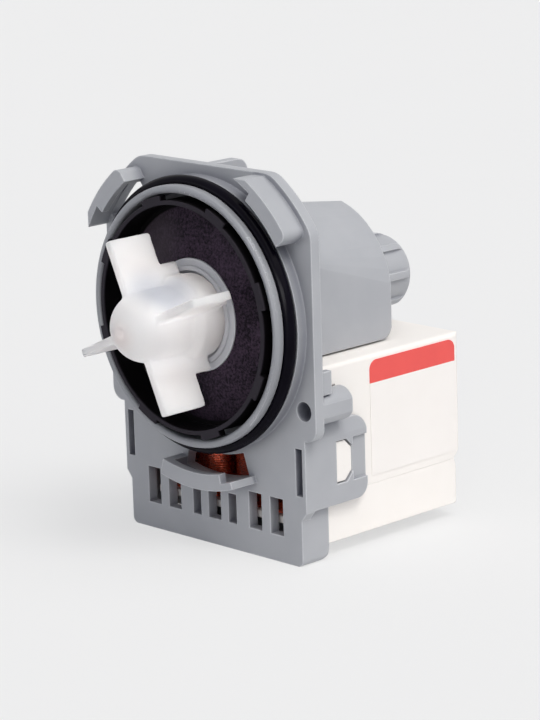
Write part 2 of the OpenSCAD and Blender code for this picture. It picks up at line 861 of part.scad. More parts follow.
// Plastic spool that keys the magnet to the shaft
module rotor_carrier() {
    core_r = magnet_r - magnet_wall;
    color(BLACK) {
        ring_y(shaft_r + seat_gap/5, core_r, carrier_y, carrier_end);
        ring_y(shaft_r + seat_gap/5, sleeve_r, carrier_end - e, sleeve_end);
        ring_y(core_r - e, magnet_r - 0.3, carrier_y, carrier_y + carrier_flange);
        ring_y(core_r - e, magnet_r - 0.3, carrier_end - carrier_flange, carrier_end);
    }
}

module rotor_magnet() {
    color(FERRITE) ring_y(magnet_r - magnet_wall + seat_gap/2, magnet_r, magnet_y, magnet_end);
}

// Driver on the shaft that picks the impeller up after its free turn
module drive_dog() {
    color(BLACK) along_y(driver_front, driver_rear) difference() {
        union() {
            circle(driver_hub_r);
            sector(driver_hub_r - 0.5, driver_r, blade_angle - driver_half, blade_angle + driver_half);
        }
        circle(shaft_r + seat_gap/5);
    }
}

// Outline of the hub as radius and depth, a dome that swells into a straight skirt
module hub_outline() {
    skirt_y = -blade_rear;
    dome_y = -(dome_tip - dome_r);
    polygon(concat([[0, -dome_tip + 0.5], [0.9, -dome_tip + 0.5], [1.3, -dome_tip + 0.1]],
        [for (a = [16:8:88]) [dome_r*sin(a), dome_y - dome_r*cos(a)]], [[dome_r, dome_y]],
        [[dome_r, skirt_y - 1.6], [hub_r, skirt_y + 0.4], [hub_r, hub_rear], [0, hub_rear]]));
}

module blade() {
    root = cavity_r + 0.4;
    tip = impeller_r - blade_round;
    translate([0, 0, -blade_t/2]) linear_extrude(blade_t) {
        box_2d(root, -blade_front, tip, -blade_rear);
        box_2d(root, -blade_front + blade_round, impeller_r, -blade_rear - blade_round);
        for (y = [-blade_front + blade_round, -blade_rear - blade_round]) translate([tip, y]) circle(blade_round);
        box_2d(root, -blade_rear - e, blade_step_r, step_rear);
    }
}

module impeller() {
    color(WHITE) {
        difference() {
            union() {
                revolve_y() hub_outline();
                for (k = [0:3]) rotate([0, -blade_angle - 90*k, 0]) blade();
            }
            along_y(cavity_front, cap_front + e) circle(cavity_r);
            along_y(cap_front, hub_rear + 1) circle(cap_r);
        }
        // Stop that the driver pushes
        along_y(cavity_front - e, cap_front - 0.2) sector(driver_hub_r + 0.4, cavity_r + e,
            blade_angle + 180 - stop_half, blade_angle + 180 + stop_half);
    }
}

module hub_cap() {
    color(WHITE) ring_y(shaft_r + run_fit, cap_r - seat_gap/2, cap_front + seat_gap/2, hub_rear);
}

module core_outline() {
    difference() {
        union() {
            circle(pole_out);
            for (x = [-leg_x, leg_x]) box_2d(x - leg_w/2, yoke_top - 1, x + leg_w/2, 0);
        }
        circle(pole_r);
        // Open gap between the pole tips, above and below the rotor
        box_2d(-pole_gap, 0, pole_gap, 2*pole_out);
        box_2d(-leg_x + leg_w/2, -2*pole_out, leg_x - leg_w/2, 0);
    }
    polygon([[-yoke_half_w, yoke_top], [-yoke_half_w, -foot_drop + yoke_chamfer],
        [-yoke_half_w + yoke_chamfer, -foot_drop], [yoke_half_w - yoke_chamfer, -foot_drop],
        [yoke_half_w, -foot_drop + yoke_chamfer], [yoke_half_w, yoke_top]]);
}

// Places of the four rivets through the core
module at_rivets() {
    pole_mid = (pole_r + pole_out)/2;
    for (side = [-1, 1], at = [[leg_x, yoke_top - yoke_h/2 + 0.5], pole_mid*[cos(30), -sin(30)]])
        translate([side*at[0], at[1]]) children();
}

module stator_core() {
    color(LAMINATION) along_y(stack_y, stack_end) difference() {
        core_outline();
        at_rivets() circle(rivet_r + seat_gap/2);
    }
}

module core_rivets() {
    color(STEEL) {
        along_y(stack_y, stack_end) at_rivets() circle(rivet_r);
        along_y(stack_y - rivet_head, stack_y) at_rivets() circle(rivet_r + rivet_head);
        along_y(stack_end, stack_end + rivet_head) at_rivets() circle(rivet_r + rivet_head);
    }
}

// Spool on the right-hand leg
module bobbin() {
    flange_x = leg_x - flange_edge;
    difference() {
        translate([leg_x, stack_mid, 0]) {
            translate([-bobbin_half_x, -bobbin_half_y, flange_z])
                cube([2*bobbin_half_x, 2*bobbin_half_y, top_flange_z + flange_t - flange_z]);
            for (z = [flange_z, top_flange_z]) translate([-flange_x, -coil_half_y - flange_edge, z])
                cube([2*flange_x, 2*coil_half_y + 2*flange_edge, flange_t]);
        }
        translate([leg_x - bobbin_half_x + bobbin_wall, stack_mid - bobbin_half_y + bobbin_wall, flange_z - 1])
            cube([2*(bobbin_half_x - bobbin_wall), 2*(bobbin_half_y - bobbin_wall), 2*winding_h]);
    }
}

module bobbin_right() {
    color(WHITE) bobbin();
}

module bobbin_left() {
    color(WHITE) mirror([1, 0, 0]) bobbin();
}

// Inner layers of the right-hand coil
module coil_core() {
    inner_x = bobbin_half_x + seat_gap;
    inner_y = bobbin_half_y + seat_gap;
    core_round = coil_round - strand_d;
    translate([leg_x, stack_mid, winding_z]) linear_extrude(winding_h) difference() {
        round_2d(-coil_core_x, -coil_core_y, coil_core_x, coil_core_y, core_round);
        box_2d(-inner_x, -inner_y, inner_x, inner_y);
    }
}

module coil_right() {
    color(COPPER) coil_core();
}

module coil_left() {
    color(COPPER) mirror([1, 0, 0]) coil_core();
}

// Centre and outward direction at one step of the outer strand
steps_per_turn = 4*(corner_steps + 1);
function strand_angle(i) = let(c = floor(i/(corner_steps + 1)), k = i - c*(corner_steps + 1))
    90*c + 90*k/corner_steps;
function strand_point(i) = let(
        c = floor(i/(corner_steps + 1)) % 4,
        a = strand_angle(i),
        sx = (c == 0 || c == 3) ? 1 : -1,
        sy = (c == 0 || c == 1) ? 1 : -1,
        path_round = coil_round - strand_r)
    [leg_x + sx*(strand_x - path_round) + path_round*cos(a),
        stack_mid + sy*(strand_y - path_round) + path_round*sin(a),
        strand_low + strand_pitch*i/steps_per_turn];

// One unbroken tube that winds up the coil, its ends straight for a tube's width
module strand() {
    n = turns*steps_per_turn;
    // The first and last rings stand one strand width outside the path's own ends
    path = concat([strand_point(0) - [0, strand_d, 0]], [for (i = [0:n]) strand_point(i)],
        [strand_point(n) + [0, strand_d, 0]]);
    turn_of = concat([strand_angle(0)], [for (i = [0:n]) strand_angle(i)], [strand_angle(n)]);
    count = len(path);
    points = [for (i = [0:count - 1], s = [0:strand_sides - 1]) let(
            t = 360*s/strand_sides,
            out = [cos(turn_of[i]), sin(turn_of[i]), 0])
        path[i] + strand_r*(cos(t)*out + [0, 0, sin(t)])];
    walls = [for (i = [0:count - 2], s = [0:strand_sides - 1]) let(
            a = i*strand_sides + s,
            b = i*strand_sides + (s + 1) % strand_sides)
        each [[a, a + strand_sides, b], [b, a + strand_sides, b + strand_sides]]];
    last = (count - 1)*strand_sides;
    caps = [for (s = [1:strand_sides - 2]) each [[0, s, s + 1], [last, last + s + 1, last + s]]];
    polyhedron(points, concat(walls, caps));
}

// Least gap between one turn of the strand and the next, measured between the path's points
strand_self_gap = min([for (i = [0:(turns - 1)*steps_per_turn - 1], d = [-1:1])
    norm(strand_point(i + steps_per_turn + d) - strand_point(i))]) - strand_d;
echo(strand_self_gap = strand_self_gap);

module winding_right() {
    color(COPPER) strand();
}

module winding_left() {
    color(COPPER) mirror([1, 0, 0]) strand();
}

// Plan of the coil cover with round rear corners, open at the front
module box_plan(y0, y1, inset, r) {
    box_2d(-box_half_w + inset, y0, box_half_w - inset, y1 - inset - r);
    round_2d(-box_half_w + inset, y1 - inset - 4*r, box_half_w - inset, y1 - inset, r);
}

// Bevel across the full width from the parting to a rear face, upwards or downwards, to be cut away
module rear_bevel(y, z, deep, high) {
    slope = [deep, high];
    low = [y - deep, z] - slope/2;
    top = [y, z + high] + slope/2;
    along_x(-2*box_half_w, 2*box_half_w) polygon([low, top, [top[0], low[1]]]);
}

module coil_cover() {
    z0 = -parting_drop;
    z1 = -box_top_drop;
    color(WHITE) difference() {
        union() {
            translate([0, 0, z0]) linear_extrude(z1 - z0) box_plan(box_front, box_rear, 0, box_round);
            both_sides() along_x(box_half_w - e, waist_half_w - 0.4) catch_outline(0.3);
        }
        difference() {
            translate([0, 0, z0 - 1]) linear_extrude(z1 - z0 + 1 - box_wall)
                box_plan(box_front - 1, box_rear - rear_wall + box_wall, box_wall, 0.4);
            // Walls of the terminal socket
            along_y(socket_floor - box_wall, box_rear) round_2d(-socket_w/2 - box_wall,
                socket_mid - socket_h/2 - box_wall, socket_w/2 + box_wall, socket_mid + socket_h/2 + box_wall, 2);
        }
        along_y(socket_floor, box_rear + 1) round_2d(-socket_w/2, socket_mid - socket_h/2, socket_w/2,
            socket_mid + socket_h/2, 1);
        for (x = [-tab_pitch/2, tab_pitch/2]) translate([x - tab_t/2 - seat_gap, tab_start, socket_mid - tab_w/2 - seat_gap])
            cube([tab_t + 2*seat_gap, socket_d, tab_w + 2*seat_gap]);
        // Opening for the core legs and the rotor chamber above them, and notches for the screw bosses
        translate([0, 0, z1 - 2*box_wall]) linear_extrude(3*box_wall)
            box_2d(-top_open_x, box_front - 1, top_open_x, max(shell_l, chamber_back) + 3*seat_gap);
        both_sides() along_y(box_front - 1, plate_t + boss_l + boss_notch)
            translate([hole_x, -hole_drop]) circle(boss_r + boss_notch);
        // Round top edges and the notch beside the parting
        both_sides() along_y(box_front - 1, box_rear + 1) corner_2d(box_half_w, z1, 1, 1, top_round);
        along_x(-2*box_half_w, 2*box_half_w) corner_2d(box_rear, z1, 1, 1, top_round);
        rear_bevel(box_rear, z0, cover_notch, cover_notch);
    }
}

module coil_base() {
    z0 = -base_drop;
    z1 = -parting_drop;
    color(WHITE) difference() {
        translate([0, 0, z0]) linear_extrude(z1 - z0) box_plan(base_front, base_rear, 0, box_round);
        translate([0, 0, z0 + box_wall]) linear_extrude(z1 - z0)
            box_plan(base_front - 1, base_rear - rear_wall + box_wall, box_wall, 0.4);
        // Opening for the yoke
        translate([0, 0, z0 - 1]) linear_extrude(3*box_wall)
            box_2d(-yoke_half_w - 0.5, base_front - 1, yoke_half_w + 0.5, stack_end + 1);
        rear_bevel(base_rear, z1, base_notch, -2*base_notch);
        along_x(-2*box_half_w, 2*box_half_w) corner_2d(base_rear, z0, 1, -1, base_round);
    }
}

module terminal(x) {
    color(BRASS) translate([x - tab_t/2, 0, 0]) rotate([90, 0, 90]) linear_extrude(tab_t) difference() {
        polygon([[tab_start, socket_mid - tab_w/2], [tab_end - 1, socket_mid - tab_w/2],
            [tab_end, socket_mid - tab_w/2 + 1.2], [tab_end, socket_mid + tab_w/2 - 1.2],
            [tab_end - 1, socket_mid + tab_w/2], [tab_start, socket_mid + tab_w/2]]);
        translate([tab_end - 2.8, socket_mid]) circle(0.7);
    }
}

module terminal_right() {
    terminal(tab_pitch/2);
}

module terminal_left() {
    terminal(-tab_pitch/2);
}

// Cut-out that lies on the back of the right-hand coil
module thermal_fuse() {
    y0 = stack_mid + coil_half_y + seat_gap;
    color(BLACK) along_y(y0, y0 + fuse_t) round_2d(leg_x - fuse_l/2, fuse_z, leg_x + fuse_l/2, fuse_z + fuse_h, 0.8);
}

// Label outline in side view, with round corners at the top
module label_outline() {
    y0 = label_y;
    y1 = label_y + label_l;
    z0 = label_top - label_h;
    box_2d(y0, z0, y1, label_top - label_round);
    round_2d(y0, label_top - 3*label_round, y1, label_top, label_round);
}

module label() {
    color(WHITE) along_x(box_half_w, box_half_w + label_t) difference() {
        label_outline();
        box_2d(label_y - 1, label_top - band_h, label_y + label_l + 1, label_top + 1);
    }
}

module label_band() {
    color(RED) along_x(box_half_w, box_half_w + label_t) intersection() {
        label_outline();
        box_2d(label_y - 1, label_top - band_h, label_y + label_l + 1, label_top + 1);
    }
}

pump_housing();
main_o_ring();
chamber_cover();
cover_seal();
bearing_holder();
front_bearing_mount();
front_bush();
front_thrust_washer();
shaft();
rotor_carrier();
rotor_magnet();
rear_thrust_washer();
rear_bush();
rear_bearing_mount();
drive_dog();
impeller();
hub_cap();
stator_core();
core_rivets();
bobbin_right();
bobbin_left();
coil_right();
coil_left();
winding_right();
winding_left();
coil_cover();
coil_base();
terminal_right();
terminal_left();
thermal_fuse();
label();
label_band();
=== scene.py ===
"""Looks of the washer drain pump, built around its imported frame."""
import math

import bmesh
import bpy
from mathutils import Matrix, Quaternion, Vector


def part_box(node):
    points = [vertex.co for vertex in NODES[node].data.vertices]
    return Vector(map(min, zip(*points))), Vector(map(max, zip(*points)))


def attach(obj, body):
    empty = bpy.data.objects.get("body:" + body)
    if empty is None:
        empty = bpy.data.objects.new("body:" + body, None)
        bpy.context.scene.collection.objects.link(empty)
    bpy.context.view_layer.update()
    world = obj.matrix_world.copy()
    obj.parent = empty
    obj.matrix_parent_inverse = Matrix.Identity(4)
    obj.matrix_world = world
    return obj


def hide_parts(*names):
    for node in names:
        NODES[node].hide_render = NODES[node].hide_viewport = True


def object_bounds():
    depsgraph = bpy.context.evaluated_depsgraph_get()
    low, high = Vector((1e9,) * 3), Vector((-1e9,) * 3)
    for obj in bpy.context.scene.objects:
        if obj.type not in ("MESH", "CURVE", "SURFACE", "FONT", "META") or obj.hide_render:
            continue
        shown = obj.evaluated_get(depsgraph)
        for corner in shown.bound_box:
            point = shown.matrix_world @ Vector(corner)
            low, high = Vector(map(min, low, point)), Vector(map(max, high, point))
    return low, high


MM = 0.001

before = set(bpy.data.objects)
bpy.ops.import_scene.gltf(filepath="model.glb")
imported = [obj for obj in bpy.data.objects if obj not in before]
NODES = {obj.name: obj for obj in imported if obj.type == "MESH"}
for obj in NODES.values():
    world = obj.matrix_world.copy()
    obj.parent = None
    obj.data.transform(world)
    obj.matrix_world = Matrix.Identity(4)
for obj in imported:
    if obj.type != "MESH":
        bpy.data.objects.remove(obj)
cad_low, cad_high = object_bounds()

# Camera: a long lens from the front right, a little above the object
LENS_MM = 150.0
SENSOR_MM = 36.0
CLIP_START = 0.01
CLIP_END = 20.0
CAMERA_AT = Vector((477.5, -444.1, 145.3))*MM
AZIMUTH = 45.89
ELEVATION = 13.52
ROLL = -1.79

# Colours, linear
HOUSING = (0.414, 0.423, 0.446)
HOUSING_SHADE = (0.392, 0.401, 0.426)
# Painted highlight on the housing's edges
HOUSING_EDGE_HIGHLIGHT = (0.700, 0.710, 0.735)
# Painted shade in the housing's recesses
HOUSING_RECESS_SHADE = (0.090, 0.094, 0.140)
# Darker tone on the spigot
HOUSING_SPIGOT_DARKER = (0.292, 0.299, 0.322)
# Bearing holder: the housing grey painted much lighter, as painted light where the impeller shades it
HOLDER_LIGHTENED = (0.610, 0.612, 0.640)
HOLDER_LIGHTENED_SHADE = (0.585, 0.588, 0.618)
DISH_DARK = (0.0030, 0.0010, 0.0045)
DISH_LIGHT = (0.0700, 0.0450, 0.0740)
# Painted pool of light on the dish floor
DISH_PAINTED_LIGHT = (0.0880, 0.0700, 0.0850)
DISH_WALL = (0.0020, 0.0016, 0.0022)
DISH_RIM = (0.0300, 0.0262, 0.0335)
RUBBER = (0.0016, 0.0010, 0.0040)
RUBBER_DUST = (0.0030, 0.0022, 0.0060)
IMPELLER = (0.752, 0.732, 0.722)
IMPELLER_SHADE = (0.742, 0.724, 0.713)
# Blades a little darker than the hub: painted shade
IMPELLER_BLADE_SHADED = (0.738, 0.722, 0.713)
# Painted cool shade on top of the hub, and painted warm shade at its tip
IMPELLER_PAINTED_COOL_SHADE = (0.468, 0.477, 0.512)
IMPELLER_PAINTED_WARM_SHADE = (0.715, 0.650, 0.628)
COVER_WHITE = (0.926, 0.890, 0.850)
COVER_SHADE = (0.916, 0.878, 0.836)
LABEL_WHITE = (0.922, 0.886, 0.850)
LABEL_SHADE = (0.914, 0.876, 0.839)
BAND_RED = (0.850, 0.090, 0.078)
BAND_SHADE = (0.810, 0.082, 0.072)
COPPER = (0.440, 0.075, 0.022)
COPPER_DARK = (0.240, 0.024, 0.009)
COPPER_COAT = (1.0, 0.62, 0.36)
LAMINATION = (0.060, 0.061, 0.064)
LAMINATION_DARK = (0.016, 0.016, 0.018)
STEEL = (0.560, 0.565, 0.575)
STEEL_SHADE = (0.470, 0.475, 0.485)
BRONZE = (0.330, 0.200, 0.085)
BRONZE_SHADE = (0.250, 0.145, 0.060)
FERRITE = (0.045, 0.044, 0.046)
FERRITE_SHADE = (0.030, 0.030, 0.032)
TINNED = (0.640, 0.560, 0.380)
TINNED_SHADE = (0.540, 0.450, 0.280)

# Tint of the lamps and of the light all round
WARM = (1.0, 0.985, 0.960)
COOL = (0.900, 0.950, 1.090)

# Suns: the way each one shines, its level, its spread in degrees and its tint
KEY_AIM = (-0.54, 0.06, -0.84)
SUNS = {
    "key": (KEY_AIM, 0.48, 80, WARM),
    "core": (KEY_AIM, 0.39, 26, WARM),
    "fill": ((0.55, 0.80, 0.12), 0.11, 40, COOL),
    "front": ((-0.50, 0.72, -0.48), 0.03, 8, WARM),
}
WORLD_LEVEL = 0.24

# Card ahead of the pump that lights up the sealing ring, in metres and degrees
CARD_AT = Vector((0.0, -1.0, 0.0))
CARD_LONG = 2.0
CARD_HIGH = 0.16
CARD_TILT = 18.0
CARD_RADIANCE = 4.0*math.pi

# Floor and background: their tone, the floor's half width in metres and the share of the shadow it keeps
PALE = 0.863
FLOOR_VARIES = 0.003
FLOOR_BLOTCH_MM = 60.0
FLOOR_REACH = 6.0
FLOOR_SHADOW = 0.30

# Usual range of a noise, and the narrower one that sets blotches apart
NOISE_LOW = 0.3
NOISE_HIGH = 0.7
BLOTCH_LOW = 0.35
BLOTCH_HIGH = 0.68

# Moulded and ground finishes: relief of the grain, and how widely and how much the roughness varies
GRAIN_DEPTH_MM = 0.06
ROUGH_BLOTCH_MM = 14.0
ROUGH_VARIES = 0.03
BEVEL_SAMPLES = 6

# Painted highlight on edges: cosine between the rounded and the flat normal where it starts and where it is
# full
EDGE_START = 0.985
EDGE_FULL = 0.90
EDGE_HIGHLIGHT_SHARE = 0.9

# Painted shade in recesses: how far it looks for walls, and the open share where it ends and where it is full
RECESS_REACH = 5.0*MM
RECESS_SAMPLES = 8
RECESS_OPEN = 0.84
RECESS_SHUT = 0.20
RECESS_SHADE_SHARE = 0.85

# Darker tone of the spigot: it reaches just outside the collar, and lies ahead of the mounting plate
SEAL_R = 31.6*MM
SEAL_FADE = 0.3*MM
SEAL_START_Y = -0.2*MM
SEAL_FULL_Y = -0.8*MM

# Black plastic: its specks and the larger clouds that join them
SPECK_MM = 0.60
SPECK_DARK = 0.61
SPECK_LIGHT = 0.90
SPECK_DEPTH_MM = 0.10
CLOUD_MM = 6.0
CLOUD_SHARE = 0.45
BLACK_EDGE_MM = 0.25

# Dish: its rim with the tabs, its smooth wall, the painted shade on its floor and the middle of a painted
# pool of light
DISH_RIM_W = 2.2*MM
WALL_START = 0.6*MM
WALL_FULL = 0.2*MM
WALL_GRAIN = 0.2
RIM_START = 0.5*MM
RIM_FULL = 0.1*MM
PAINTED_SHADE_REACH = 1.4
PAINTED_SHADE_TONE = 0.25
LIGHT_PATCH_AT_MM = (-14.5, -3.5, 15.5)
LIGHT_PATCH_NEAR_MM = 3.0
LIGHT_PATCH_FAR_MM = 13.0
LIGHT_PATCH_SHARE = 0.55

# Impeller: the blades' tone, a painted shade, sets in between two radii, and two places on the hub get
# painted shade
HUB_TONE_R = 8.0*MM
BLADE_TONE_R = 13.0*MM
COOL_SHADE_AT_MM = (2.5, -15.5, 8.5)
COOL_SHADE_NEAR_MM = 3.0
COOL_SHADE_FAR_MM = 9.5
WARM_SHADE_AT_MM = (0.0, -27.0, -1.0)
WARM_SHADE_NEAR_MM = 0.5
WARM_SHADE_FAR_MM = 5.5

# Impeller: how far light spreads in the thick hub and in the thin blades
HUB_GLOW_R = 8.5*MM
BLADE_GLOW_R = 12.0*MM
HUB_GLOW = 36.0*MM
BLADE_GLOW = 9.0*MM
GLOW_RADIUS = (1.0, 0.9, 0.86)

# Impeller: cells and smoothing passes that round its edges
SOFT_CELL = 0.30*MM
SOFT_SHARE = 0.5
SOFT_PASSES = 8

# Windings
WIRE_D = 0.40*MM
WIRE_PITCH = 0.41*MM
WIRE_SIDES = 8
COIL_ROUND = 4.5*MM
CORNERS = 4
CORNER_STEPS = 6

# Stator core: thickness of its sheets
SHEET = 0.5*MM

# Half waves in a unit of length, in a wave texture of scale 1
HALF_WAVES = 20/math.pi


def set_inputs(tree, node, inputs):
    """Sets a node's inputs; each is a value or another node's output."""
    for name, value in inputs.items():
        if isinstance(value, bpy.types.NodeSocket):
            tree.links.new(value, node.inputs[name])
        else:
            node.inputs[name].default_value = value


def add(tree, kind, inputs=None, **settings):
    """A new node with its settings and inputs."""
    made = tree.nodes.new(kind)
    for name, value in settings.items():
        setattr(made, name, value)
    set_inputs(tree, made, inputs or {})
    return made


def maths(tree, operation, *values):
    return add(tree, "ShaderNodeMath", dict(enumerate(values)), operation=operation).outputs[0]


def vector_maths(tree, operation, *values):
    """Both outputs of a vector math node, Vector and Value."""
    return add(tree, "ShaderNodeVectorMath", dict(enumerate(values)), operation=operation).outputs


def rgba(colour):
    return (*colour, 1.0)


def place_on(tree):
    """Place on the piece, from one node that the whole material shares."""
    place = tree.nodes.get("place") or add(tree, "ShaderNodeTexCoord", name="place")
    return place.outputs["Object"]


def noise(tree, size_mm, detail=2.0, rough=0.5, offset=0.0):
    """Noise whose blobs are about size_mm across, fixed to the piece; the offset sets two noises apart."""
    vector = place_on(tree)
    if offset:
        vector = vector_maths(tree, "ADD", vector, (offset, offset, offset))["Vector"]
    inputs = {"Vector": vector, "Scale": 1/(size_mm*MM), "Detail": detail, "Roughness": rough}
    return add(tree, "ShaderNodeTexNoise", inputs).outputs["Fac"]


def spread(tree, value, low, high, to_low, to_high, **settings):
    """Maps a value from one range to another, held at the ends."""
    inputs = {"Value": value, "From Min": low, "From Max": high, "To Min": to_low, "To Max": to_high}
    return add(tree, "ShaderNodeMapRange", inputs, **settings).outputs["Result"]


def wander(tree, value, low, high):
    """Maps a noise to values between low and high."""
    return spread(tree, value, NOISE_LOW, NOISE_HIGH, low, high)


def bands(tree, axis, band, distortion=0.0):
    """Waves along an axis; a crest and a trough are each one band wide."""
    inputs = {"Vector": place_on(tree), "Scale": 1/(band*HALF_WAVES), "Distortion": distortion}
    made = add(tree, "ShaderNodeTexWave", inputs, wave_type="BANDS", bands_direction=axis, wave_profile="SIN")
    return made.outputs["Fac"]


def mix(tree, factor, first, second):
    """Colour between two colours; each of them is a colour or another node's output."""
    made = add(tree, "ShaderNodeMix", data_type="RGBA")
    sockets = {socket.identifier: socket for socket in made.inputs}
    tree.links.new(factor, sockets["Factor_Float"])
    for name, value in (("A_Color", first), ("B_Color", second)):
        if isinstance(value, bpy.types.NodeSocket):
            tree.links.new(value, sockets[name])
        else:
            sockets[name].default_value = rgba(value)
    return next(socket for socket in made.outputs if socket.identifier == "Result_Color")


def empty_material(name):
    made = bpy.data.materials.new(name)
    made.use_nodes = True
    made.node_tree.nodes.clear()
    return made, made.node_tree


def new_material(name):
    """A material with one plain shader: the material, its tree and the shader."""
    made, tree = empty_material(name)
    shader = add(tree, "ShaderNodeBsdfPrincipled")
    add(tree, "ShaderNodeOutputMaterial", {"Surface": shader.outputs["BSDF"]})
    return made, tree, shader


def rounded(tree, edge_mm):
    """Normal that runs round the edges."""
    return add(tree, "ShaderNodeBevel", {"Radius": edge_mm*MM}, samples=BEVEL_SAMPLES).outputs["Normal"]


def bumped(tree, height, strength, depth_mm, normal=None):
    """Normal with fine relief, on top of another normal where there is one."""
    inputs = {"Strength": strength, "Distance": depth_mm*MM, "Height": height}
    if normal:
        inputs["Normal"] = normal
    return add(tree, "ShaderNodeBump", inputs).outputs["Normal"]


def edge_mask(tree, round_normal):
    """1 where the rounded normal leaves the face's own normal, at an edge."""
    face = add(tree, "ShaderNodeNewGeometry").outputs["True Normal"]
    cosine = vector_maths(tree, "DOT_PRODUCT", round_normal, face)["Value"]
    return spread(tree, cosine, EDGE_START, EDGE_FULL, 0.0, 1.0)


def recess_shade_mask(tree):
    """Painted shade: grows where walls of the same piece close a place in."""
    inputs = {"Distance": RECESS_REACH}
    made = add(tree, "ShaderNodeAmbientOcclusion", inputs, samples=RECESS_SAMPLES, only_local=True)
    return spread(tree, made.outputs["AO"], RECESS_SHUT, RECESS_OPEN, RECESS_SHADE_SHARE, 0.0)


def nearness(tree, place_mm, near_mm, far_mm):
    """1 close to a place on the piece, fading to 0."""
    away = vector_maths(tree, "DISTANCE", place_on(tree), Vector(place_mm)*MM)["Value"]
    return spread(tree, away, near_mm*MM, far_mm*MM, 1.0, 0.0, interpolation_type="SMOOTHSTEP")


def axis_distance(tree):
    """Distance from the pump axis."""
    flat = vector_maths(tree, "MULTIPLY", place_on(tree), (1.0, 0.0, 1.0))["Vector"]
    return vector_maths(tree, "LENGTH", flat)["Value"]


def seal_mask(tree):
    """1 on the spigot and inside it, in front of the mounting plate."""
    inside = spread(tree, axis_distance(tree), SEAL_R + SEAL_FADE, SEAL_R - SEAL_FADE, 0.0, 1.0)
    place = add(tree, "ShaderNodeSeparateXYZ", {0: place_on(tree)})
    ahead = spread(tree, place.outputs["Y"], SEAL_START_Y, SEAL_FULL_Y, 0.0, 1.0)
    return maths(tree, "MULTIPLY", inside, ahead)


def surface(name, colour, shade, rough, grain_mm=0.3, grain=0.12, blotch_mm=9.0, edge_mm=0.35,
            edge_highlight=None, recess_shade=None, spigot_darker=None, outer=None, tints=(), **inputs):
    """Moulded or ground finish: blotches of two tones, fine grain and rounded edges.

    Edges can get a painted highlight, recesses painted shade and the spigot a darker tone. The part that lies
    farther from the axis can take another tone, with the radii where its colour starts and is full, and
    single places painted shade, with the distances where their tint is full and where it ends.
    """
    made, tree, shader = new_material(name)
    blotch = spread(tree, noise(tree, blotch_mm, detail=3.0), BLOTCH_LOW, BLOTCH_HIGH, 0.0, 1.0)
    tone = mix(tree, blotch, shade, colour)
    # Darker tone on the spigot, in front of the mounting plate
    if spigot_darker:
        tone = mix(tree, seal_mask(tree), tone, spigot_darker)
    normal = None
    if edge_mm:
        normal = rounded(tree, edge_mm)
    # Painted highlight along the edges
    if edge_highlight:
        painted_light_share = maths(tree, "MULTIPLY", edge_mask(tree, normal), EDGE_HIGHLIGHT_SHARE)
        tone = mix(tree, painted_light_share, tone, edge_highlight)
    # Painted shade in recesses
    if recess_shade:
        tone = mix(tree, recess_shade_mask(tree), tone, recess_shade)
    if grain:
        normal = bumped(tree, noise(tree, grain_mm, rough=0.6), grain, GRAIN_DEPTH_MM, normal)
    if normal:
        tree.links.new(normal, shader.inputs["Normal"])
    if outer:
        start, full, tint = outer
        tone = mix(tree, spread(tree, axis_distance(tree), start, full, 0.0, 1.0), tone, tint)
    for place_mm, near_mm, far_mm, tint in tints:
        tone = mix(tree, nearness(tree, place_mm, near_mm, far_mm), tone, tint)
    patches = noise(tree, ROUGH_BLOTCH_MM, detail=1.0, offset=0.37)
    set_inputs(tree, shader, {
        "Base Color": tone,
        "Roughness": wander(tree, patches, rough - ROUGH_VARIES, rough + ROUGH_VARIES)})
    set_inputs(tree, shader, inputs)
    return made


def dish_tone(tree, tone):
    """The dish's colour, and a mask that is 1 on its smooth wall and rim."""
    low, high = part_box("chamber_cover")
    inner = high.x - DISH_RIM_W
    place = add(tree, "ShaderNodeSeparateXYZ", {0: place_on(tree)})
    # Painted shade: the floor is darker towards the lower left
    across = maths(tree, "ADD", place.outputs["X"], place.outputs["Z"])
    painted_light_share = spread(tree, across, -PAINTED_SHADE_REACH*inner, 0.0, PAINTED_SHADE_TONE, 1.0)
    tone = mix(tree, painted_light_share, DISH_DARK, tone)
    # Painted pool of light: the floor is lighter round one place
    near = nearness(tree, LIGHT_PATCH_AT_MM, LIGHT_PATCH_NEAR_MM, LIGHT_PATCH_FAR_MM)
    tone = mix(tree, spread(tree, near, 0.0, 1.0, 0.0, LIGHT_PATCH_SHARE), tone, DISH_PAINTED_LIGHT)
    wall = spread(tree, axis_distance(tree), inner - WALL_START, inner - WALL_FULL, 0.0, 1.0)
    front = spread(tree, place.outputs["Y"], low.y + RIM_START, low.y + RIM_FULL, 0.0, 1.0)
    smooth = mix(tree, front, DISH_WALL, DISH_RIM)
    return mix(tree, wall, tone, smooth), wall


def black_material(name, dish):
    """Spark-eroded black plastic with dark and light specks in clouds."""
    made, tree, shader = new_material(name)
    specks = noise(tree, SPECK_MM, detail=4.0, rough=0.72)
    clouds = noise(tree, CLOUD_MM, offset=0.21)
    both = maths(tree, "MULTIPLY_ADD", clouds, CLOUD_SHARE, specks)
    tone = mix(tree, spread(tree, both, SPECK_DARK, SPECK_LIGHT, 0.0, 1.0), DISH_DARK, DISH_LIGHT)
    height = specks
    if dish:
        tone, wall = dish_tone(tree, tone)
        height = maths(tree, "MULTIPLY", specks, spread(tree, wall, 0.0, 1.0, 1.0, WALL_GRAIN))
    set_inputs(tree, shader, {
        "Base Color": tone,
        "Roughness": wander(tree, specks, low=0.48, high=0.64),
        "Specular IOR Level": 0.06,
        "Normal": bumped(tree, height, strength=0.55, depth_mm=SPECK_DEPTH_MM,
                         normal=rounded(tree, BLACK_EDGE_MM))})
    return made


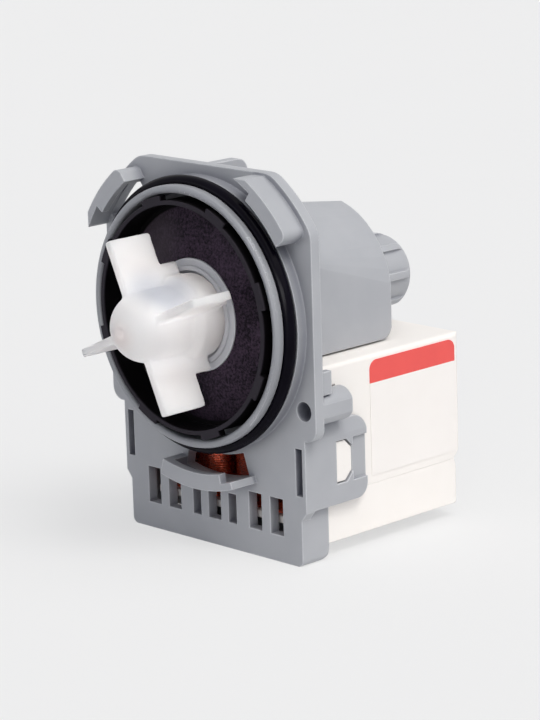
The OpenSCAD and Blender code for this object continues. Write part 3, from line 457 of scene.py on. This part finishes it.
def layered_material():
    """Edges of punched sheets, stacked along the shaft."""
    made, tree, shader = new_material("sheet_stack")
    sheets = bands(tree, "Y", SHEET, distortion=0.4)
    set_inputs(tree, shader, {
        "Base Color": mix(tree, sheets, LAMINATION_DARK, LAMINATION),
        "Metallic": 0.85,
        "Roughness": wander(tree, noise(tree, size_mm=1.5, detail=3.0), low=0.42, high=0.60),
        "Normal": bumped(tree, sheets, strength=0.5, depth_mm=0.08)})
    return made


def wire_material(name, ridged):
    """Enamelled copper, with the ridges of the wire where the turns are only a surface."""
    made, tree, shader = new_material(name)
    blotch = wander(tree, noise(tree, size_mm=5.0, detail=1.0), low=0.0, high=1.0)
    set_inputs(tree, shader, {
        "Base Color": mix(tree, blotch, COPPER_DARK, COPPER),
        "Metallic": 0.75,
        "Roughness": wander(tree, noise(tree, size_mm=0.8, offset=0.5), low=0.20, high=0.34),
        "Coat Weight": 0.6,
        "Coat Roughness": 0.12,
        "Coat Tint": rgba(COPPER_COAT)})
    if ridged:
        ridges = bands(tree, "Z", WIRE_PITCH)
        set_inputs(tree, shader, {"Normal": bumped(tree, ridges, strength=0.8, depth_mm=0.2)})
    return made


def natural_material():
    """Natural, slightly see-through plastic of the impeller."""
    # Painted shade: cool on top of the hub, warm at its tip
    tints = ((COOL_SHADE_AT_MM, COOL_SHADE_NEAR_MM, COOL_SHADE_FAR_MM, IMPELLER_PAINTED_COOL_SHADE),
             (WARM_SHADE_AT_MM, WARM_SHADE_NEAR_MM, WARM_SHADE_FAR_MM, IMPELLER_PAINTED_WARM_SHADE))
    # The blades' darker tone is painted shade
    made = surface("natural_white", IMPELLER, IMPELLER_SHADE, rough=0.80, grain_mm=0.6, grain=0.03, edge_mm=0,
                   outer=(HUB_TONE_R, BLADE_TONE_R, IMPELLER_BLADE_SHADED), tints=tints)
    tree = made.node_tree
    shader = tree.nodes["Principled BSDF"]
    shader.subsurface_method = "BURLEY"
    set_inputs(tree, shader, {
        "Subsurface Weight": 1.0,
        "Subsurface Radius": GLOW_RADIUS,
        "Subsurface Scale": spread(tree, axis_distance(tree), HUB_GLOW_R, BLADE_GLOW_R, HUB_GLOW, BLADE_GLOW),
        "IOR": 1.5,
        "Specular IOR Level": 0.2})
    return made


def new_object(name, data):
    made = bpy.data.objects.new(name, data)
    bpy.context.scene.collection.objects.link(made)
    return made


def turn(made, rotation):
    made.rotation_mode = "QUATERNION"
    made.rotation_quaternion = rotation


def dress(material, *names):
    """Gives CAD nodes a material."""
    for name in names:
        slots = NODES[name].data.materials
        slots.clear()
        slots.append(material)


def complete(piece, material, body):
    """Gives a new piece its material and the body that carries it."""
    piece.data.materials.clear()
    piece.data.materials.append(material)
    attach(piece, body)


def winding_path(low, high):
    """Steps of a wire wound as a rising racetrack: its middle, and the way out from the coil."""
    radius = WIRE_D/2
    middle = (low + high)/2
    half_x = (high.x - low.x)/2 - radius
    half_y = (high.y - low.y)/2 - radius
    turn_r = COIL_ROUND - radius
    rise = high.z - low.z - WIRE_D
    steps = int(rise/WIRE_PITCH)*CORNERS*(CORNER_STEPS + 1)
    for i in range(steps + 1):
        corner, step = divmod(i, CORNER_STEPS + 1)
        angle = math.radians(90*(corner + step/CORNER_STEPS))
        sign_x = 1 if corner % CORNERS in (0, 3) else -1
        sign_y = 1 if corner % CORNERS in (0, 1) else -1
        out = Vector((math.cos(angle), math.sin(angle), 0))
        x = middle.x + sign_x*(half_x - turn_r)
        y = middle.y + sign_y*(half_y - turn_r)
        z = low.z + radius + rise*i/steps
        yield Vector((x, y, z)) + turn_r*out, out


def wire_mesh(name, path):
    """Round wire along a path, closed at both ends."""
    up = Vector((0, 0, 1))
    mesh = bmesh.new()
    rings = []
    for centre, out in path:
        ring = []
        for s in range(WIRE_SIDES):
            t = 2*math.pi*s/WIRE_SIDES
            ring.append(mesh.verts.new(centre + WIRE_D/2*(math.cos(t)*out + math.sin(t)*up)))
        rings.append(ring)
    for first, second in zip(rings, rings[1:]):
        for s in range(WIRE_SIDES):
            n = (s + 1) % WIRE_SIDES
            mesh.faces.new((first[s], second[s], second[n], first[n]))
    mesh.faces.new(rings[0])
    mesh.faces.new(list(reversed(rings[-1])))
    bmesh.ops.recalc_face_normals(mesh, faces=mesh.faces)
    data = bpy.data.meshes.new(name)
    mesh.to_mesh(data)
    mesh.free()
    data.shade_smooth()
    return data


def winding(side):
    """Outer layer of one coil as a single fine wire, in place of its node."""
    node = f"winding_{side}"
    name = f"wire_{side}"
    low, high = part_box(node)
    made = new_object(name, wire_mesh(name, winding_path(low, high)))
    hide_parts(node)
    return made


def soft_copy(node, name):
    """A node's form with its edges and inner corners rounded: fine cells, then a few smoothing passes."""
    made = new_object(name, NODES[node].data.copy())
    remesh = made.modifiers.new("cells", "REMESH")
    remesh.mode = "VOXEL"
    remesh.voxel_size = SOFT_CELL
    smooth = made.modifiers.new("smooth", "SMOOTH")
    smooth.factor = SOFT_SHARE
    smooth.iterations = SOFT_PASSES
    depsgraph = bpy.context.evaluated_depsgraph_get()
    final = bpy.data.meshes.new_from_object(made.evaluated_get(depsgraph))
    made.modifiers.clear()
    made.data = final
    final.shade_smooth()
    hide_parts(node)
    return made


def make_camera():
    data = bpy.data.cameras.new("camera")
    data.lens = LENS_MM
    data.sensor_width = SENSOR_MM
    data.clip_start = CLIP_START
    data.clip_end = CLIP_END
    camera = new_object("camera", data)
    a = math.radians(AZIMUTH)
    e = math.radians(ELEVATION)
    ahead = -Vector((math.sin(a)*math.cos(e), -math.cos(a)*math.cos(e), math.sin(e)))
    turn(camera, ahead.to_track_quat("-Z", "Y") @ Quaternion((0, 0, 1), math.radians(ROLL)))
    camera.location = CAMERA_AT
    bpy.context.scene.camera = camera


def make_sun(name, aim, level, spread_deg, colour):
    """Even light; level 1 renders a white face turned to it as white."""
    data = bpy.data.lights.new(name, "SUN")
    data.energy = level*math.pi
    data.color = colour
    data.angle = math.radians(spread_deg)
    turn(new_object(name, data), Vector(aim).to_track_quat("-Z", "Y"))


def make_card():
    """Long narrow card that faces the pump and shows only in reflections."""
    data = bpy.data.lights.new("card", "AREA")
    data.shape = "RECTANGLE"
    data.size = CARD_LONG
    data.size_y = CARD_HIGH
    # An area lamp's radiance is its power over its area and pi
    data.energy = CARD_RADIANCE*math.pi*CARD_LONG*CARD_HIGH
    made = new_object("card", data)
    facing = (-CARD_AT).to_track_quat("-Z", "Y")
    turn(made, facing @ Quaternion((0, 0, 1), math.radians(CARD_TILT)))
    made.location = CARD_AT
    made.visible_camera = False
    made.visible_diffuse = False


def in_sight(tree):
    """1 for straight views, reflections and see-through rays."""
    path = add(tree, "ShaderNodeLightPath")
    sight = maths(tree, "MAXIMUM", path.outputs["Is Camera Ray"], path.outputs["Is Glossy Ray"])
    return maths(tree, "MAXIMUM", sight, path.outputs["Is Transmission Ray"])


def make_world():
    """Even light all round, behind a pale background."""
    world = bpy.data.worlds.new("studio")
    bpy.context.scene.world = world
    world.use_nodes = True
    tree = world.node_tree
    tree.nodes.clear()
    light = add(tree, "ShaderNodeBackground", {"Color": rgba(COOL), "Strength": WORLD_LEVEL})
    seen = add(tree, "ShaderNodeBackground", {"Color": (PALE, PALE, PALE, 1.0), "Strength": 1.0})
    which = add(tree, "ShaderNodeMixShader", {0: in_sight(tree), 1: light.outputs[0], 2: seen.outputs[0]})
    add(tree, "ShaderNodeOutputWorld", {"Surface": which.outputs[0]})


def make_floor():
    """Pale floor that looks even and keeps a share of the object's shadow."""
    low = cad_low.z
    reach = FLOOR_REACH
    mesh = bpy.data.meshes.new("floor")
    corners = [(-reach, -reach, low), (reach, -reach, low), (reach, reach, low), (-reach, reach, low)]
    mesh.from_pydata(corners, [], [(0, 1, 2, 3)])
    floor = new_object("floor", mesh)
    made, tree = empty_material("floor")
    darker = (PALE*(1 - FLOOR_VARIES),)*3
    lighter = (PALE*(1 + FLOOR_VARIES),)*3
    tone = mix(tree, noise(tree, FLOOR_BLOTCH_MM), darker, lighter)
    lit = add(tree, "ShaderNodeBsdfDiffuse", {"Color": tone})
    even = add(tree, "ShaderNodeEmission", {"Color": tone, "Strength": 1.0})
    share = maths(tree, "MULTIPLY", in_sight(tree), 1.0 - FLOOR_SHADOW)
    both = add(tree, "ShaderNodeMixShader", {0: share, 1: lit.outputs[0], 2: even.outputs[0]})
    add(tree, "ShaderNodeOutputMaterial", {"Surface": both.outputs[0]})
    mesh.materials.append(made)


def dress_mouldings():
    """Plastic and rubber nodes."""
    housing = surface("housing_grey", HOUSING, HOUSING_SHADE, rough=0.45, grain_mm=0.35, grain=0.10,
                      edge_mm=0.5, edge_highlight=HOUSING_EDGE_HIGHLIGHT, recess_shade=HOUSING_RECESS_SHADE, spigot_darker=HOUSING_SPIGOT_DARKER)
    # Painted light: the holder is a lighter copy of the housing grey
    holder = surface("holder_grey_lightened", HOLDER_LIGHTENED, HOLDER_LIGHTENED_SHADE, rough=0.45, grain_mm=0.35, grain=0.10, edge_mm=0.3)
    rubber = surface("rubber", RUBBER, RUBBER_DUST, rough=0.20, grain_mm=0.5, grain=0.04, blotch_mm=4.0,
                     edge_mm=0, **{"IOR": 1.14, "Specular IOR Level": 0.5})
    white = surface("cover_white", COVER_WHITE, COVER_SHADE, rough=0.45, grain_mm=0.4, grain=0.05,
                    edge_mm=0.3, **{"Specular IOR Level": 0.35})
    dress(housing, "pump_housing")
    dress(holder, "bearing_holder")
    dress(black_material("dish_texture", dish=True), "chamber_cover")
    dress(black_material("black_texture", dish=False), "rotor_carrier", "drive_dog", "thermal_fuse")
    dress(rubber, "main_o_ring", "cover_seal", "front_bearing_mount", "rear_bearing_mount")
    dress(white, "coil_cover", "coil_base", "bobbin_right", "bobbin_left")


def dress_metals():
    """Metal and magnet nodes, apart from the coils."""
    steel = surface("ground_steel", STEEL, STEEL_SHADE, rough=0.30, grain_mm=0.15, edge_mm=0.1, Metallic=1.0)
    bronze = surface("sintered_bronze", BRONZE, BRONZE_SHADE, rough=0.45, grain_mm=0.12, grain=0.3,
                     edge_mm=0.1, Metallic=0.9)
    ferrite = surface("ferrite", FERRITE, FERRITE_SHADE, rough=0.55, grain_mm=0.2, grain=0.2, edge_mm=0.15)
    tinned = surface("tinned_brass", TINNED, TINNED_SHADE, rough=0.28, grain_mm=0.3, edge_mm=0.12,
                     Metallic=1.0)
    dress(steel, "shaft", "front_thrust_washer", "rear_thrust_washer", "core_rivets")
    dress(bronze, "front_bush", "rear_bush")
    dress(ferrite, "rotor_magnet")
    dress(layered_material(), "stator_core")
    dress(tinned, "terminal_right", "terminal_left")


def dress_label():
    film = surface("label_film", LABEL_WHITE, LABEL_SHADE, rough=0.32, grain=0, edge_mm=0)
    red = surface("band_film", BAND_RED, BAND_SHADE, rough=0.32, grain=0, edge_mm=0)
    dress(film, "label")
    dress(red, "label_band")


def make_coils():
    """Inner layers of the coils in their CAD form, outer layers as fine wire."""
    dress(wire_material("wire_layers", ridged=True), "coil_right", "coil_left")
    wire = wire_material("wire", ridged=False)
    for side in ("right", "left"):
        complete(winding(side), wire, "pump_body")


def make_impeller():
    natural = natural_material()
    dress(natural, "impeller", "hub_cap")
    complete(soft_copy("impeller", "impeller_form"), natural, "impeller")


def main():
    make_camera()
    make_world()
    for name, settings in SUNS.items():
        make_sun(name, *settings)
    make_card()
    make_floor()
    dress_mouldings()
    dress_metals()
    dress_label()
    make_coils()
    make_impeller()
    bpy.context.scene.view_settings.view_transform = "Standard"


main()
